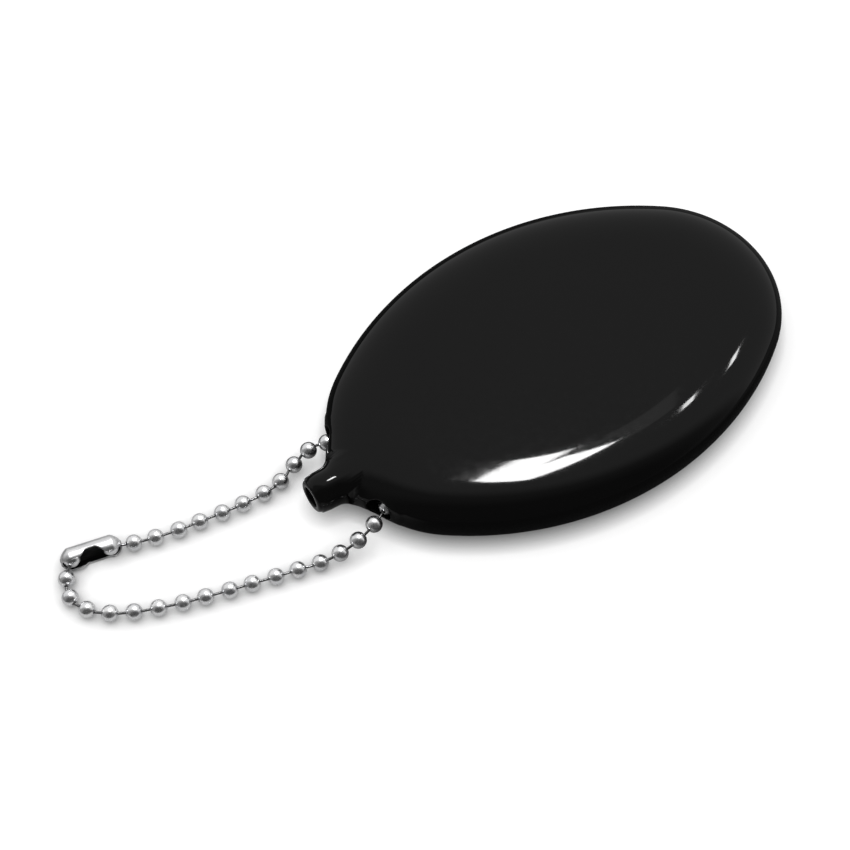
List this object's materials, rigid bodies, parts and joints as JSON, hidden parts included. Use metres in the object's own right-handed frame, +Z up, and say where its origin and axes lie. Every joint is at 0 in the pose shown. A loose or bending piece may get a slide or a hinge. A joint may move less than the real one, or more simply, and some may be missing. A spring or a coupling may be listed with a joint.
{
  "type": "squeeze coin purse",
  "caption": "Oval squeeze coin purse of moulded vinyl with a slit, a tubular neck and a loop of ball chain closed by a sheet-metal connector.",
  "frame": {"origin": "centre of the oval, on the surface that the purse lies on", "axes": "+Z up through the plain back, -X along the neck, -Y the side whose chain strand is longer"},
  "size_m": [0.1136, 0.048, 0.009],
  "materials": {
    "vinyl": "gloss",
    "ball_steel": "polished",
    "wire_steel": "polished",
    "sheet_steel": "satin"
  },
  "bodies": {
    "purse": {"purse_shell": "vinyl", "ball_01": "ball_steel", "ball_02": "ball_steel", "ball_28": "ball_steel", "ball_29": "ball_steel", "ball_30": "ball_steel", "ball_31": "ball_steel", "ball_32": "ball_steel", "ball_33": "ball_steel", "ball_34": "ball_steel", "ball_35": "ball_steel", "links_in_purse": "wire_steel"},
    "near_lip": {"lip_near": "vinyl"},
    "far_lip": {"lip_far": "vinyl"},
    "chain_1": {"ball_03": "ball_steel", "ball_26": "ball_steel", "ball_27": "ball_steel", "links_near_1": "wire_steel", "links_far_1": "wire_steel"},
    "chain_2": {"ball_04": "ball_steel", "ball_05": "ball_steel", "ball_24": "ball_steel", "ball_25": "ball_steel", "links_near_2": "wire_steel", "links_far_2": "wire_steel"},
    "chain_3": {"ball_06": "ball_steel", "ball_07": "ball_steel", "ball_22": "ball_steel", "ball_23": "ball_steel", "links_near_3": "wire_steel", "links_far_3": "wire_steel"},
    "chain_4": {"ball_08": "ball_steel", "ball_09": "ball_steel", "ball_20": "ball_steel", "ball_21": "ball_steel", "links_near_4": "wire_steel", "links_far_4": "wire_steel"},
    "chain_5": {"ball_10": "ball_steel", "ball_11": "ball_steel", "ball_12": "ball_steel", "ball_13": "ball_steel", "ball_14": "ball_steel", "ball_15": "ball_steel", "ball_16": "ball_steel", "ball_17": "ball_steel", "ball_18": "ball_steel", "ball_19": "ball_steel", "links_near_5": "wire_steel", "links_far_5": "wire_steel"},
    "connector": {"connector": "sheet_steel"}
  },
  "joints": [
    {"name": "fold_1", "type": "hinge", "parent": "purse", "child": "chain_1", "pos_m": [-0.03952, -0.00058, 0.00236], "axis": [0.0661, 0.9975, -0.0238], "range_deg": [-20, 20]},
    {"name": "fold_2", "type": "hinge", "parent": "chain_1", "child": "chain_2", "pos_m": [-0.04383, -0.00109, 0.0012], "axis": [-0.0077, 0.9998, -0.0172], "range_deg": [-22, 22]},
    {"name": "fold_3", "type": "hinge", "parent": "chain_2", "child": "chain_3", "pos_m": [-0.05012, -0.00038, 0.0012], "axis": [-0.0167, 0.9999, 0], "range_deg": [-25, 25]},
    {"name": "fold_4", "type": "hinge", "parent": "chain_3", "child": "chain_4", "pos_m": [-0.05657, 0.00083, 0.0012], "axis": [-0.0272, 0.9996, 0], "range_deg": [-25, 25]},
    {"name": "fold_5", "type": "hinge", "parent": "chain_4", "child": "chain_5", "pos_m": [-0.06293, 0.00229, 0.0012], "axis": [-0.0321, 0.9995, 0], "range_deg": [-25, 25]},
    {"name": "connector_roll", "type": "hinge", "parent": "chain_5", "child": "connector", "pos_m": [-0.07081, 0.01022, 0.00165], "axis": [0.9781, -0.2079, 0], "range_deg": [-12, 12]},
    {"name": "lip_near_open", "type": "hinge", "parent": "purse", "child": "near_lip", "pos_m": [0, -0.01413, 0.0003], "axis": [-1, 0, 0], "range_deg": [0, 55], "stiffness_Nm_per_rad": 0.02},
    {"name": "lip_far_open", "type": "hinge", "parent": "purse", "child": "far_lip", "pos_m": [0, 0.01413, 0.0003], "axis": [1, 0, 0], "range_deg": [0, 55], "stiffness_Nm_per_rad": 0.02}
  ],
  "couplings": [
    {"joint": "lip_far_open", "follows": "lip_near_open", "ratio": 1}
  ]
}
